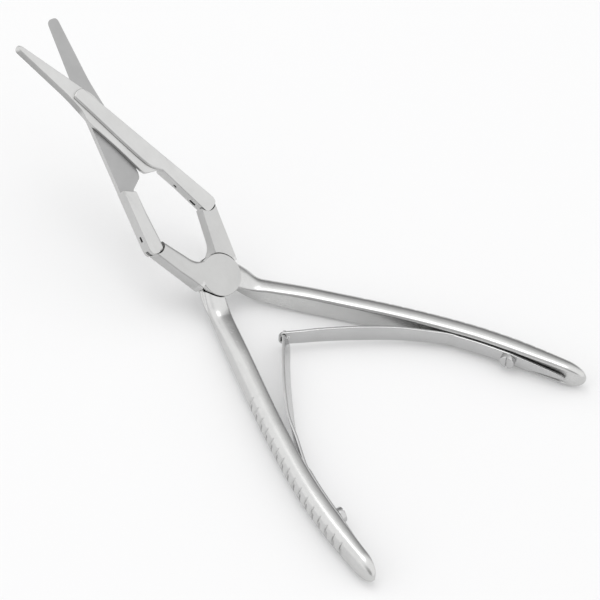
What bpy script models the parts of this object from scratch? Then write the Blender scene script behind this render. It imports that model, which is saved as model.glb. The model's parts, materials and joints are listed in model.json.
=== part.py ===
"""Double-action angled scissors: two bowed handle levers on a common pivot, two blade levers
linked to them, a pair of leaf springs between the handles and the pins and screws that join them.

Frame: +X runs from the pivot towards the handle ends, +Y across, +Z up, with the handles lying
flat on Z = 0 and the jaw end rising towards -X. All sizes below are in millimetres, and
new_object() turns them into metres.
"""
import math

import bmesh
import bpy
import numpy as np
from mathutils import Matrix, Vector

MM = 0.001
CLEARANCE = 0.3  # between touching pieces

# ---- driving dimensions -------------------------------------------------------------------
BEND = math.radians(35.0)          # handles are bent this far out of the jaw plane
PIVOT = Vector((-13.71, 0.0, 9.55))  # centre of the handle pivot
OPEN_ARM = 19.1                    # handle pivot to link pin, along the jaw axis, when open
OPEN_LINK = 41.4                   # link pin to blade pivot, along the jaw axis, when open
OPEN_HALF = 11.1                   # link pin off the jaw axis, when open

DISC_RADIUS = 6.45                 # lapped discs of the handle pivot
DISC_TOP = 2.9                     # half the thickness of the two discs together
ARM_HALF = 2.4                     # half the thickness of the short arms
TAIL_HALF = 2.2                    # half the thickness of a blade lever's forked tail
TAIL_RADIUS = 2.6                  # round end of a tail, about its link pin
TONGUE_HALF = 0.7                  # half the thickness of an arm's tongue, inside the fork
TONGUE_RADIUS = 2.2
FORK_START = 32.0                  # fork slot, from the blade pivot
LAP_TOP = 1.35                     # top of the lapped plate of a blade lever
RIDGE_TOP = 2.2                    # top of a blade lever's rib, level with its tail
BLADE_LENGTH = 29.9                # blade pivot to tip

PIVOT_PIN_RADIUS = 2.3
LINK_PIN_RADIUS = 1.1
BLADE_PIN_RADIUS = 1.3

HANDLE_THICKNESS = 5.8
HANDLE_HEIGHT = 8.4
HANDLE_REACH = 101.5               # handle pivot to handle end, along X
INNER_FLAT = 3.3                   # half the height of the flat inner face
CHANNEL_HALF = 3.0                 # half the height of the spring channel
CHANNEL_DEPTH = 0.4
CHANNEL_START, CHANNEL_END = 51.0, 97.5
GROOVE_COUNT = 16                  # grip grooves across each handle's outer face
GROOVE_FIRST, GROOVE_LAST = 37.0, 88.5
GROOVE_DEPTH, GROOVE_HALF = 0.5, 0.65

SPRING_THICKNESS = 0.9
SPRING_ROOT_HALF = 2.4             # half the height of a leaf at its screw
SPRING_TIP_HALF = 3.0              # half the height of a leaf at its free end
SPRING_LEAVES = 57.5               # where a leaf leaves its handle, along X from the pivot
SPRING_MEET = 27.2                 # where the two leaves hook together
SPRING_END = 96.0
SCREW_AT = 79.0
SCREW_HEAD_RADIUS, SCREW_HEAD_HEIGHT = 2.35, 1.6
SCREW_SHANK_RADIUS = 1.2
SCREW_SLOT = 0.7

# ---- frames -------------------------------------------------------------------------------
ALONG = Vector((math.cos(BEND), 0.0, -math.sin(BEND)))   # jaw axis, towards the handles
ACROSS = Vector((0.0, 1.0, 0.0))
PIN_AXIS = Vector((math.sin(BEND), 0.0, math.cos(BEND)))  # all pivots turn about this


def jaw_frame():
    """Matrix whose columns are the jaw axis, +Y and the pin axis, with its origin at the pivot."""
    turn = Matrix((ALONG, ACROSS, PIN_AXIS)).transposed().to_4x4()
    return Matrix.Translation(PIVOT) @ turn


TOP_SIDE = jaw_frame()
BOTTOM_SIDE = TOP_SIDE @ Matrix.Rotation(math.pi, 4, "X")  # the same parts, turned over
LEVER_ANGLE = math.atan2(OPEN_HALF, OPEN_LINK)
LINK_LENGTH = math.hypot(OPEN_HALF, OPEN_LINK)


def blade_frame(side):
    """Frame of a blade lever: origin at the blade pivot, +X through its link pin."""
    to_pivot = Matrix.Translation((-OPEN_ARM - OPEN_LINK, 0.0, 0.0))
    return side @ to_pivot @ Matrix.Rotation(LEVER_ANGLE, 4, "Z")


# ---- making solids ------------------------------------------------------------------------
def clear_scene():
    for item in list(bpy.data.objects):
        bpy.data.objects.remove(item, do_unlink=True)


def steel(name, colour, roughness):
    material = bpy.data.materials.new(name)
    material.use_nodes = True
    shader = material.node_tree.nodes["Principled BSDF"]
    shader.inputs["Base Color"].default_value = (*colour, 1.0)
    shader.inputs["Metallic"].default_value = 1.0
    shader.inputs["Roughness"].default_value = roughness
    return material


def new_object(name, bm, frame=Matrix.Identity(4)):
    """Object from a bmesh in a frame's millimetres, with its faces turned outwards."""
    bm.transform(Matrix.Scale(MM, 4) @ frame)
    bmesh.ops.recalc_face_normals(bm, faces=bm.faces)
    mesh = bpy.data.meshes.new(name)
    bm.to_mesh(mesh)
    bm.free()
    item = bpy.data.objects.new(name, mesh)
    bpy.context.collection.objects.link(item)
    return item


def skin(rings):
    """Closed bmesh through a list of equal rings of points, with a flat cap at each end."""
    bm = bmesh.new()
    rows = [[bm.verts.new(point) for point in ring] for ring in rings]
    count = len(rows[0])
    for near, far in zip(rows, rows[1:]):
        for i in range(count):
            j = (i + 1) % count
            bm.faces.new((near[i], near[j], far[j], far[i]))
    bm.faces.new(list(reversed(rows[0])))
    bm.faces.new(rows[-1])
    return bm


def prism(outline, low, high):
    """Closed bmesh of a flat outline of (x, y) points between two heights."""
    return skin([[(x, y, z) for x, y in outline] for z in (low, high)])


def arc(centre, radius, start, end, steps):
    """Points of an arc, with angles in degrees."""
    angles = np.radians(np.linspace(start, end, steps))
    return [(centre[0] + radius * math.cos(a), centre[1] + radius * math.sin(a)) for a in angles]


def disc(centre, radius, low, high, steps=32):
    return prism(arc(centre, radius, 0, 360 - 360 / steps, steps), low, high)


def hide(tool):
    tool.hide_render = True
    tool.display_type = "WIRE"


def combine(item, tool, operation):
    """Adds a Boolean to an object; the tool stays in the scene as a hidden guide."""
    hide(tool)
    modifier = item.modifiers.new(tool.name, "BOOLEAN")
    modifier.operation = operation
    modifier.object = tool
    modifier.solver = "EXACT"


def fuse(item, name, bm, frame):
    combine(item, new_object(f"add_{item.name}_{name}", bm, frame), "UNION")


def cut(item, name, bm, frame):
    combine(item, new_object(f"cut_{item.name}_{name}", bm, frame), "DIFFERENCE")


def finish(item, origin, material):
    """Puts the object's origin on its joint, gives it its material and smooth round faces."""
    item.data.transform(Matrix.Translation(-origin * MM))
    item.location = origin * MM
    item.data.materials.append(material)
    item.data.shade_smooth()
    item.data.set_sharp_from_angle(angle=math.radians(35))


# ---- handle path and section --------------------------------------------------------------
def smooth_path(points, count):
    """Catmull-Rom curve through the points, read at count equal steps of its parameter."""
    points = np.array(points, float)
    padded = np.vstack([2 * points[0] - points[1], points, 2 * points[-1] - points[-2]])
    t = np.linspace(0, len(points) - 1, count)
    i = np.minimum(t.astype(int), len(points) - 2)
    f = (t - i)[:, None]
    a, b, c, d = padded[i], padded[i + 1], padded[i + 2], padded[i + 3]
    return 0.5 * (2 * b + (c - a) * f + (2 * a - 5 * b + 4 * c - d) * f ** 2
                  + (3 * b - a - 3 * c + d) * f ** 3)


def handle_line():
    """Centre line of the +Y handle from the pivot, dense, in millimetres from the pivot."""
    root = [ALONG * 1.5 + ACROSS * 3.6, ALONG * 5.0 + ACROSS * 5.6]
    drop = PIVOT.z - HANDLE_HEIGHT / 2
    bend = Vector((8.2, 7.7, 0.35 - drop))
    flat = [(13.0, 10.3), (28.0, 18.4), (47.0, 28.4), (64.0, 36.3), (76.5, 41.0), (90.0, 45.0),
            (HANDLE_REACH, 47.9)]
    return smooth_path([*root, bend] + [(x, y, -drop) for x, y in flat], 400)


LINE = handle_line()


def ramp(x, start, end):
    """0 before start, 1 after end, with a smooth rise between."""
    t = np.clip((x - start) / (end - start), 0.0, 1.0)
    return t * t * (3 - 2 * t)


def station(x, side):
    """Centre, outward and upward directions of a handle at a distance x along X."""
    i = int(np.clip(np.searchsorted(LINE[:, 0], x), 1, len(LINE) - 2))
    f = (x - LINE[i - 1, 0]) / (LINE[i, 0] - LINE[i - 1, 0])
    centre = Vector(LINE[i - 1] + (LINE[i] - LINE[i - 1]) * f)
    run = Vector(LINE[i + 1] - LINE[i - 1]).normalized()
    lean = float(ramp(x, 3.0, 13.0))
    up = PIN_AXIS.lerp(Vector((0, 0, 1)), lean)
    up = (up - run * up.dot(run)).normalized()
    outward = up.cross(run)
    centre.y *= side
    outward.y *= side
    up.y *= side
    return PIVOT + centre, outward, up


def groove_depth(x):
    """Depth of the grip grooves' V shapes at a distance x along X."""
    centres = np.linspace(GROOVE_FIRST, GROOVE_LAST, GROOVE_COUNT)
    return GROOVE_DEPTH * max(0.0, 1.0 - np.abs(centres - x).min() / GROOVE_HALF)


def channel_depth(x):
    return CHANNEL_DEPTH * float(ramp(x, CHANNEL_START, CHANNEL_START + 3)
                                 - ramp(x, CHANNEL_END, CHANNEL_END + 0.6))


def handle_size(x):
    """Thickness and height of a handle at a distance x: slim at the pivot, rounded at the tip."""
    tip = math.sqrt(max(0.0, 1.0 - (max(0.0, x - HANDLE_REACH + 4.5) / 4.6) ** 2))
    grow = float(ramp(x, 4.0, 24.0))
    thick = (HANDLE_THICKNESS - 1.3 * float(ramp(x, 78.0, HANDLE_REACH))) * (0.25 + 0.75 * tip)
    high = (2 * ARM_HALF + (HANDLE_HEIGHT - 2 * ARM_HALF) * grow) * (0.35 + 0.65 * tip)
    return thick, high


def handle_ring(x, side):
    """Closed section: a flat inner face with the spring channel, and a crowned outer face."""
    centre, outward, up = station(x, side)
    thick, high = handle_size(x)
    inner, half = thick / 2, high / 2
    scale = half / (HANDLE_HEIGHT / 2)
    groove = groove_depth(x)
    upper = [
        (-inner + channel_depth(x), (CHANNEL_HALF - 0.15) * scale),
        (-inner, CHANNEL_HALF * scale),
        (-inner, INNER_FLAT * scale),
        (-inner * 0.72, half * 0.93),
        (-inner * 0.36, half),
        (inner * 0.30, half),
        (inner * 0.74 - groove * 0.5, half * 0.84),
        (inner * 0.96 - groove, half * 0.5),
    ]
    lower = [(out, -rise) for out, rise in reversed(upper)]
    return [centre + outward * out + up * rise for out, rise in [*upper, (inner - groove, 0), *lower]]


def handle_stations():
    """Places of the sections: closer at the bend and the tip, and three on each groove."""
    plain = [*np.linspace(LINE[0, 0], 16, 9), 20, 25, 30, 34, CHANNEL_START, CHANNEL_START + 1.5,
             CHANNEL_START + 3, 92, 95, CHANNEL_END, CHANNEL_END + 0.6, 99, 100, 100.7, 101.2,
             HANDLE_REACH - 0.05]
    centres = np.linspace(GROOVE_FIRST, GROOVE_LAST, GROOVE_COUNT)
    near = [x for x in plain if np.abs(centres - x).min() > GROOVE_HALF + 0.2]
    grooves = [x for c in centres for x in (c - GROOVE_HALF, c, c + GROOVE_HALF)]
    return sorted(near + grooves)


# ---- leaf springs and their screws --------------------------------------------------------
def seat_frame(side):
    """Frame on the floor of the spring channel at the screw, with +Z towards the other handle."""
    centre, outward, up = station(SCREW_AT, side)
    seat = centre + outward * (CHANNEL_DEPTH - handle_size(SCREW_AT)[0] / 2)
    turn = Matrix((up, (-outward).cross(up), -outward)).transposed().to_4x4()
    return Matrix.Translation(seat) @ turn


def leaf_line(side):
    """Centre line of a leaf: along the channel, then away from the handle to the middle."""
    out = CLEARANCE + SPRING_THICKNESS / 2 - CHANNEL_DEPTH
    root = []
    for x in (SPRING_END, 90.0, 84.0, SCREW_AT, 74.0, 69.0, 64.0, 60.5):
        centre, outward, _ = station(x, side)
        root.append(centre - outward * (handle_size(x)[0] / 2 + out) - PIVOT)
    middle = HANDLE_HEIGHT / 2 - PIVOT.z
    free = [(50.5, 23.8), (41.5, 15.6), (34.1, 7.9), (30.4, 3.6), (SPRING_MEET, 0.0), (24.2, -3.3)]
    return smooth_path(root + [Vector((x, y * side, middle)) for x, y in free], 500)


def leaf_root(side):
    """Point of a leaf's line where it leaves its handle."""
    line = leaf_line(side)
    return PIVOT + Vector(line[int(np.argmax(line[:, 0] < SPRING_LEAVES))])


def leaf_ring(line, i, half):
    """Four corners of a leaf's section at point i of its line."""
    run = Vector(line[min(i + 1, len(line) - 1)] - line[max(i - 1, 0)]).normalized()
    flat = Vector((-run.y, run.x, 0.0)).normalized() * (SPRING_THICKNESS / 2)
    up = Vector((0.0, 0.0, half))
    centre = PIVOT + Vector(line[i])
    return [centre + flat + up, centre + flat - up, centre - flat - up, centre - flat + up]


def leaf_half(x):
    """Half the height of a leaf: wider towards its free end."""
    return SPRING_TIP_HALF + (SPRING_ROOT_HALF - SPRING_TIP_HALF) * float(ramp(x, 30.0, SPRING_LEAVES))


def leaf_spring(name, side):
    """Leaf spring; the +Y one ends in a window and the other in a T that hooks through it."""
    line = leaf_line(side)
    before_middle = line[:, 1] * side / math.sin(math.radians(48.0))

    def index(distance):
        return int(np.argmax(before_middle < distance))

    last = index(-2.2) if side > 0 else index(1.0)
    rings = [leaf_ring(line, i, leaf_half(line[i, 0])) for i in [*range(0, last - 4, 11), last]]
    if side < 0:
        crossbar = index(-1.15)
        for i, half in ((last + 1, 0.8), (crossbar, 0.8), (crossbar + 1, 2.3), (index(-2.1), 2.3)):
            rings.append(leaf_ring(line, i, half))
    item = new_object(name, skin(rings))
    cut(item, "screw_hole", disc((0, 0), SCREW_SHANK_RADIUS + CLEARANCE, -1, 3, 20), seat_frame(side))
    if side > 0:
        middle = Matrix.Translation(PIVOT + Vector((SPRING_MEET, 0, HANDLE_HEIGHT / 2 - PIVOT.z)))
        window = [(-0.9, -4), (1.6, -4), (1.6, 4), (-0.9, 4)]
        cut(item, "window", prism(window, -1.2, 1.2), middle)
    return item


def spring_screw(name, side):
    """Cheese-head screw with a straight slot, shank down into the handle."""
    under = CLEARANCE * 1.5 + SPRING_THICKNESS
    frame = seat_frame(side)
    item = new_object(name, disc((0, 0), SCREW_HEAD_RADIUS, under, under + SCREW_HEAD_HEIGHT), frame)
    fuse(item, "shank", disc((0, 0), SCREW_SHANK_RADIUS, -3.0, under + 0.5, 20), frame)
    half = SCREW_SLOT / 2
    top = under + SCREW_HEAD_HEIGHT
    cut(item, "slot", prism([(-4, -half), (4, -half), (4, half), (-4, half)], top - 0.7, top + 1), frame)
    return item


# ---- handle levers ------------------------------------------------------------------------
LINK_PIN = (-OPEN_ARM, OPEN_HALF)
ARM_TURN = math.radians(-20.6)     # run of a short arm, from its link pin to the handle pivot


def beside_link(along, left):
    """Point from the link pin: so far along the arm, and so far to its left."""
    c, s = math.cos(ARM_TURN), math.sin(ARM_TURN)
    return (LINK_PIN[0] + along * c - left * s, LINK_PIN[1] + along * s + left * c)


def handle_lever(name, handle_side, face):
    """Handle, short arm and lapped disc in one piece; its disc lies on the lower side of face."""
    item = new_object(name, skin([handle_ring(x, handle_side) for x in handle_stations()]))
    arm = [beside_link(0, -2.35), (-2.0, 2.1), (-0.8, 7.75), beside_link(0, 2.35)]
    fuse(item, "arm", prism(arm, -ARM_HALF, ARM_HALF), face)
    cut(item, "shoulder", disc(LINK_PIN, TAIL_RADIUS + CLEARANCE + 0.05, -4, 4), face)
    fuse(item, "disc", disc((0, 0), DISC_RADIUS, -DISC_TOP, -1.0, 40), face)
    cut(item, "lap", disc((0, 0), DISC_RADIUS + CLEARANCE, -CLEARANCE / 2, 6, 40), face)
    turn = math.degrees(ARM_TURN)
    tongue = arc(LINK_PIN, TONGUE_RADIUS, turn + 90, turn + 270, 13)
    tongue += [beside_link(6, -TONGUE_RADIUS), beside_link(6, TONGUE_RADIUS)]
    fuse(item, "tongue", prism(tongue, -TONGUE_HALF, TONGUE_HALF), face)
    cut(item, "pivot_bore", disc((0, 0), PIVOT_PIN_RADIUS + CLEARANCE, -6, 6), face)
    cut(item, "link_bore", disc(LINK_PIN, LINK_PIN_RADIUS + CLEARANCE, -4, 4, 24), face)
    bore = disc((0, 0), SCREW_SHANK_RADIUS + CLEARANCE, -3.4, 2, 20)
    cut(item, "screw_bore", bore, seat_frame(handle_side))
    return item


# ---- blade levers -------------------------------------------------------------------------
EDGE_OFFSET, EDGE_SLOPE = 3.93, 0.07   # cutting edge beside the blade pivot, and its taper
STEP_OUTER, STEP_INNER = (24.6, 2.85), (26.3, -1.1)  # where the lap ends against the tail


def blade_plate():
    """Flat lapped plate from the blade's tip to the tail, with a bevel along the blade's back."""
    edge = [(x, EDGE_OFFSET + EDGE_SLOPE * x) for x in (-5.0, -29.3)]
    front = [(28.0, 2.8), (1.5, 2.8), (-1.0, 3.35), *edge, (-BLADE_LENGTH, 1.3)]
    back = [(-BLADE_LENGTH, -0.4), (-29.2, -1.5), (-9.0, -2.75), (-3.0, -3.7), (0.5, -4.3)]
    inset = [0.5, 0.9, 0.95, 0.7, 0.25]
    flange = [(12.5, -4.7), (21.5, -5.5), (22.9, -5.2), (25.4, -1.8), (28.0, -1.15)]
    low = [(x, y, CLEARANCE / 2) for x, y in front + back + flange]
    bevelled = [(x, y + d) for (x, y), d in zip(back, inset)]
    high = [(x, y, LAP_TOP) for x, y in front + bevelled + flange]
    return skin([low, high])


def blade_ridge():
    nose = [(-6.6, 2.7), (-7.6, 1.9), (-8.0, 0.7), (-7.7, -0.5), (-6.8, -1.3)]
    wall = [(2.4, -2.1), (10.6, -2.7), (18.8, -3.1), (23.4, -3.0), (27.0, -1.2), (28.0, -1.15),
            (28.0, 2.75)]
    return prism(nose + wall, LAP_TOP - 0.6, RIDGE_TOP)


def blade_lever(name, side):
    """Blade, ribbed shank and forked tail in one piece, on the upper side of its frame."""
    frame = blade_frame(side)
    item = new_object(name, blade_plate(), frame)
    fuse(item, "ridge", blade_ridge(), frame)
    end = (LINK_LENGTH, 0.1)
    outline = [STEP_OUTER, STEP_INNER, (42.0, -2.2), *arc(end, TAIL_RADIUS, -62, 90, 12)]
    fuse(item, "tail", prism(outline, -TAIL_HALF, TAIL_HALF), frame)
    fork = [(FORK_START, -6), (50, -6), (50, 6), (FORK_START, 6)]
    gap = TONGUE_HALF + CLEARANCE
    cut(item, "fork", prism(fork, -gap, gap), frame)
    link_bore = disc((LINK_LENGTH, 0), LINK_PIN_RADIUS + CLEARANCE, -4, 4, 24)
    cut(item, "link_bore", link_bore, frame)
    cut(item, "pivot_bore", disc((0, 0), BLADE_PIN_RADIUS + CLEARANCE, -4, 4, 24), frame)
    return item


def pin(name, centre, radius, half, frame, steps=32):
    """Plain round pin, flush with the faces it joins."""
    return new_object(name, disc(centre, radius, -half, half, steps), frame)


# ---- the whole object ---------------------------------------------------------------------
def main():
    clear_scene()
    satin = steel("satin_steel", (0.74, 0.74, 0.73), 0.30)
    polished = steel("polished_steel", (0.80, 0.80, 0.79), 0.16)
    spring = steel("spring_steel", (0.68, 0.68, 0.67), 0.24)

    top_link = TOP_SIDE @ Vector((*LINK_PIN, 0))
    bottom_link = BOTTOM_SIDE @ Vector((*LINK_PIN, 0))
    blade_pivot = blade_frame(TOP_SIDE) @ Vector((0, 0, 0))

    finish(handle_lever("upper_handle_lever", 1, BOTTOM_SIDE), PIVOT, polished)
    finish(handle_lever("lower_handle_lever", -1, TOP_SIDE), PIVOT, polished)
    finish(blade_lever("top_blade_lever", TOP_SIDE), top_link, satin)
    finish(blade_lever("bottom_blade_lever", BOTTOM_SIDE), bottom_link, satin)
    finish(pin("handle_pivot_pin", (0, 0), PIVOT_PIN_RADIUS, DISC_TOP, TOP_SIDE), PIVOT, satin)
    blade_pin = pin("blade_pivot_pin", (0, 0), BLADE_PIN_RADIUS, RIDGE_TOP, blade_frame(TOP_SIDE), 24)
    finish(blade_pin, blade_pivot, satin)
    for name, face, place in (("top_link_pin", TOP_SIDE, top_link),
                              ("bottom_link_pin", BOTTOM_SIDE, bottom_link)):
        finish(pin(name, LINK_PIN, LINK_PIN_RADIUS, TAIL_HALF, face, 24), place, satin)
    for name, side in (("upper", 1), ("lower", -1)):
        finish(leaf_spring(f"{name}_leaf_spring", side), leaf_root(side), spring)
        finish(spring_screw(f"{name}_spring_screw", side), leaf_root(side), satin)


main()
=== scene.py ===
# %% [markdown]
# # Double-action angled scissors
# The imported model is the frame: it fixes every size, place and joint. This script gives each piece its
# finished surface and steel, and sets up the studio. Nothing here moves or resizes the frame.

# %% Load the frame
import math
import bpy
import numpy as np
from mathutils import Matrix, Vector
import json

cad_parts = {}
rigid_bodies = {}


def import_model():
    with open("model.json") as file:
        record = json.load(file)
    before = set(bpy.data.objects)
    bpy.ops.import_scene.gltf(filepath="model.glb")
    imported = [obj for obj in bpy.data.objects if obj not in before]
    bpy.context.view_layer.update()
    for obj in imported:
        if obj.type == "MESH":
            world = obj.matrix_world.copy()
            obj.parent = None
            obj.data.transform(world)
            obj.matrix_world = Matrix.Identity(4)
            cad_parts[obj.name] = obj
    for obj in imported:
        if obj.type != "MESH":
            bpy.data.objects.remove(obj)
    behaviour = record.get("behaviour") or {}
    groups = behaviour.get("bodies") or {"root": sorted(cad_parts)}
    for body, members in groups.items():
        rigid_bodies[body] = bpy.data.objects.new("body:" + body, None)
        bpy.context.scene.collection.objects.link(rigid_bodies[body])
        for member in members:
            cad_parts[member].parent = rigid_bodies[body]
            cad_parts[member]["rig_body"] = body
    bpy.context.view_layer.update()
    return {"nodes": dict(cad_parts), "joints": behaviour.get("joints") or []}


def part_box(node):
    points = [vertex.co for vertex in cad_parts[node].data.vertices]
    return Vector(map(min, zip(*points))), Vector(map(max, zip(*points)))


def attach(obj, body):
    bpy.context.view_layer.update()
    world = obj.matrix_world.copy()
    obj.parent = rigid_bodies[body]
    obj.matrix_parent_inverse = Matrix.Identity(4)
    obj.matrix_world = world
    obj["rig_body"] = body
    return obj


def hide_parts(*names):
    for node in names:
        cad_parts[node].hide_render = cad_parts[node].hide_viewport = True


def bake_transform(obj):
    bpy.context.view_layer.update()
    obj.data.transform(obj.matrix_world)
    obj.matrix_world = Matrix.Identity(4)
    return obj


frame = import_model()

MM = 0.001
JOINTS = {joint["name"]: joint for joint in frame["joints"]}
BODY_OF = {name: node["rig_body"] for name, node in frame["nodes"].items()}
print("joints:", ", ".join(JOINTS))

# %% [markdown]
# All four pins are parallel, but the blades and the short arms lie in a plane that is tilted against the
# handles. So the blade end is drawn flat, in its own frame, and carried into place by a matrix. The jaw
# frame has its origin at the handle pivot, its first axis along the blades towards the handles, its
# second across and its third along the pins. Turning it half round about its first axis gives the frame
# of the lower half, because the two halves of such a tool are the same part turned over.

# %% The jaw frame, from the joints
PIVOT = np.array(JOINTS["handle_pivot"]["pos_m"]) / MM
PIN_AXIS = -np.array(JOINTS["handle_pivot"]["axis"])
PIN_AXIS /= np.linalg.norm(PIN_AXIS)
ACROSS = np.array([0.0, 1.0, 0.0])
ALONG = np.cross(ACROSS, PIN_AXIS)
BLADE_PIVOT = np.mean(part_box("blade_pivot_pin"), axis=0) / MM
print(f"the pins lean {math.degrees(math.acos(PIN_AXIS[2])):.1f} degrees from upright")

# %% [markdown]
# Carrying a flat drawing into place needs a few small matrices: one made from its columns, one that turns
# and one that shifts. All points of a piece go through a matrix at once.

# %% Small matrices
def placed(origin, x_axis, y_axis, z_axis):
    """4 by 4 matrix with these columns."""
    matrix = np.eye(4)
    matrix[:3, 0], matrix[:3, 1], matrix[:3, 2], matrix[:3, 3] = x_axis, y_axis, z_axis, origin
    return matrix


def turned(angle):
    """4 by 4 matrix of a turn about the third axis."""
    c, s = math.cos(angle), math.sin(angle)
    return np.array([[c, -s, 0, 0], [s, c, 0, 0], [0, 0, 1, 0], [0, 0, 0, 1.0]])


def shifted(x, y, z=0.0):
    """4 by 4 matrix of a shift."""
    return placed((x, y, z), (1, 0, 0), (0, 1, 0), (0, 0, 1))


def into(matrix, points):
    """Points carried by a matrix: the matrix's turn applied to each, plus its origin."""
    points = np.asarray(points, float)
    return points @ matrix[:3, :3].T + matrix[:3, 3]


HALF_TURN = np.diag([1.0, -1.0, -1.0, 1.0])      # about the first axis
print("half a turn takes (1, 2, 3) to", into(HALF_TURN, (1, 2, 3)))

# %% [markdown]
# The two halves' frames come next, and with them what the joints fix in the flat drawing: the distance
# between the two pivots, the place of the link pin, and how far a blade lever is turned.

# %% Frames of the two halves
TOP_HALF = placed(PIVOT, ALONG, ACROSS, PIN_AXIS)
LOWER_HALF = TOP_HALF @ HALF_TURN
link = (np.array(JOINTS["top_blade_link"]["pos_m"]) / MM - PIVOT) @ TOP_HALF[:3, :3]
REACH = (BLADE_PIVOT - PIVOT) @ ALONG            # handle pivot to blade pivot, negative
LINK = (link[0], link[1])                        # link pin in a half's frame
TAIL_LENGTH = math.hypot(LINK[0] - REACH, LINK[1])
BLADE_TURN = math.atan2(LINK[1], LINK[0] - REACH)
print(f"pivots {-REACH:.1f} mm apart, link pin at {LINK[0]:.1f}, {LINK[1]:.1f} mm, "
      f"blade lever turned {math.degrees(BLADE_TURN):.1f} degrees")

# %% [markdown]
# ## From numbers to a mesh
# The handles, arms and springs are bars and strips: a section carried along a path. A section is a
# polygon whose corners are rounded, and a rounded corner is a short parabola that starts and ends on its
# two sides. Corners and radii may change from station to station, and all stations are worked out
# together as arrays.

# %% Rounded sections
def rounded_sections(corners, radii, steps):
    """Rounds every corner of every section.

    corners is (stations, corners, 2). On each side of corner C a point lies at the corner's radius, or
    at 45% of the side if that is less: A before it and B after it. The rounding is the parabola
    (1-t)^2 A + 2t(1-t) C + t^2 B with t from 0 to 1 in the given steps.
    """
    corners = np.asarray(corners, float)
    before, after = np.roll(corners, 1, axis=1) - corners, np.roll(corners, -1, axis=1) - corners
    radii = np.broadcast_to(np.asarray(radii, float), corners.shape[:2])[..., None]

    def toward(side):
        length = np.linalg.norm(side, axis=2, keepdims=True)
        return side / length * np.minimum(radii, 0.45 * length)

    a, b = (corners + toward(before))[:, :, None], (corners + toward(after))[:, :, None]
    c = corners[:, :, None]
    t = np.linspace(0, 1, steps)[None, None, :, None]
    rounded = (1 - t) ** 2 * a + 2 * t * (1 - t) * c + t ** 2 * b
    return rounded.reshape(len(corners), -1, 2)


def rounded(corners, radii, steps=8):
    """A closed outline with every corner rounded."""
    return rounded_sections(np.asarray(corners, float)[None], radii, steps)[0]


def circle(centre, radius, steps=72):
    """Points at equal angles round a centre."""
    angle = np.arange(steps) / steps * 2 * math.pi
    return np.stack([centre[0] + radius * np.cos(angle), centre[1] + radius * np.sin(angle)], axis=1)


print("a rounded square has", len(rounded([(0, 0), (1, 0), (1, 1), (0, 1)], 0.2)), "points")

# %% [markdown]
# Rings of points become a closed skin: four-sided faces between the rings and a cap at each end. Rings
# that run the other way give faces that point inward. The sign of the enclosed volume shows that, and
# such a mesh is turned over.

# %% Skins
SHARP_ANGLE = math.radians(35.0)


def read(items, name, width=3, kind=float):
    """One property of all items of a mesh, as an array with a row for each."""
    values = np.empty(len(items) * width, kind)
    items.foreach_get(name, values)
    return values.reshape(-1, width)


def face_outward(mesh):
    """Turns the faces over if the mesh's volume, the sum of its faces' cones, is negative."""
    mesh.calc_loop_triangles()
    corners = read(mesh.loop_triangles, "vertices", 3, int)
    a, b, c = read(mesh.vertices, "co")[corners].transpose(1, 0, 2)
    if np.einsum("ij,ij->", a, np.cross(b, c)) < 0:
        mesh.flip_normals()


def smooth(mesh):
    """Smooth shading, except where faces meet past the sharp angle."""
    mesh.shade_smooth()
    mesh.set_sharp_from_angle(angle=SHARP_ANGLE)


def skin(name, rings):
    """Closed piece through rings, an array (rings, points, 3) in millimetres, with flat caps."""
    rings = np.asarray(rings, float)
    count, size = rings.shape[:2]
    grid = np.arange(count * size).reshape(count, size)
    side = np.roll(grid, -1, axis=1)
    quads = np.stack([grid[:-1], side[:-1], side[1:], grid[1:]], axis=-1).reshape(-1, 4)
    faces = quads.tolist() + [grid[0, ::-1].tolist(), grid[-1].tolist()]
    mesh = bpy.data.meshes.new(name)
    mesh.from_pydata((rings.reshape(-1, 3) * MM).tolist(), [], faces)
    smooth(mesh)
    piece = bpy.data.objects.new(name, mesh)
    bpy.context.collection.objects.link(piece)
    face_outward(mesh)
    return piece


print(f"faces meet sharply past {math.degrees(SHARP_ANGLE):.0f} degrees")

# %% [markdown]
# The blade levers and the joint are flat work, so they are slabs: an outline with a softened rim below
# and above. A rim is a few rings, each a little further in. A bevel leans the whole upper part inward,
# as on the back of a blade.

# %% Slabs
def slab(name, outline, low, high, soft_low=0.15, soft_high=0.15, place=np.eye(4), steps=5, bevel=0.0):
    """Flat plate with softened rims, from a closed outline of (x, y) points.

    Ring k of a rim lies inside the outline by soft*(1 - cos a) and past the rim's start by
    soft*sin a, with a from 0 to a right angle. bevel is how far the top leans inward from just above
    the low rim. The softness and the bevel may be one number or one for each point.
    """
    outline = np.asarray(outline, float)
    run = np.roll(outline, -1, axis=0) - np.roll(outline, 1, axis=0)
    run /= np.linalg.norm(run, axis=1, keepdims=True)
    area = np.cross(outline, np.roll(outline, -1, axis=0)).sum()
    inward = np.stack([-run[:, 1], run[:, 0]], axis=1) * np.sign(area)
    angle = np.linspace(0, math.pi / 2, steps)[:, None]
    soft_low, soft_high, bevel = (np.broadcast_to(v, len(outline))[None]
                                  for v in (soft_low, soft_high, bevel))
    inset = np.concatenate([soft_low * (1 - np.cos(angle[::-1])), bevel + soft_high * (1 - np.cos(angle))])
    level = np.concatenate([low + soft_low * (1 - np.sin(angle[::-1])),
                            high - soft_high * (1 - np.sin(angle))])
    plan = outline[None] + inward[None] * inset[..., None]
    return skin(name, into(place, np.concatenate([plan, level[..., None]], axis=2)))


print("the rings of a rim lie in by", np.round(1 - np.cos(np.linspace(0, math.pi / 2, 5)), 2),
      "of its softness")

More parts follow.
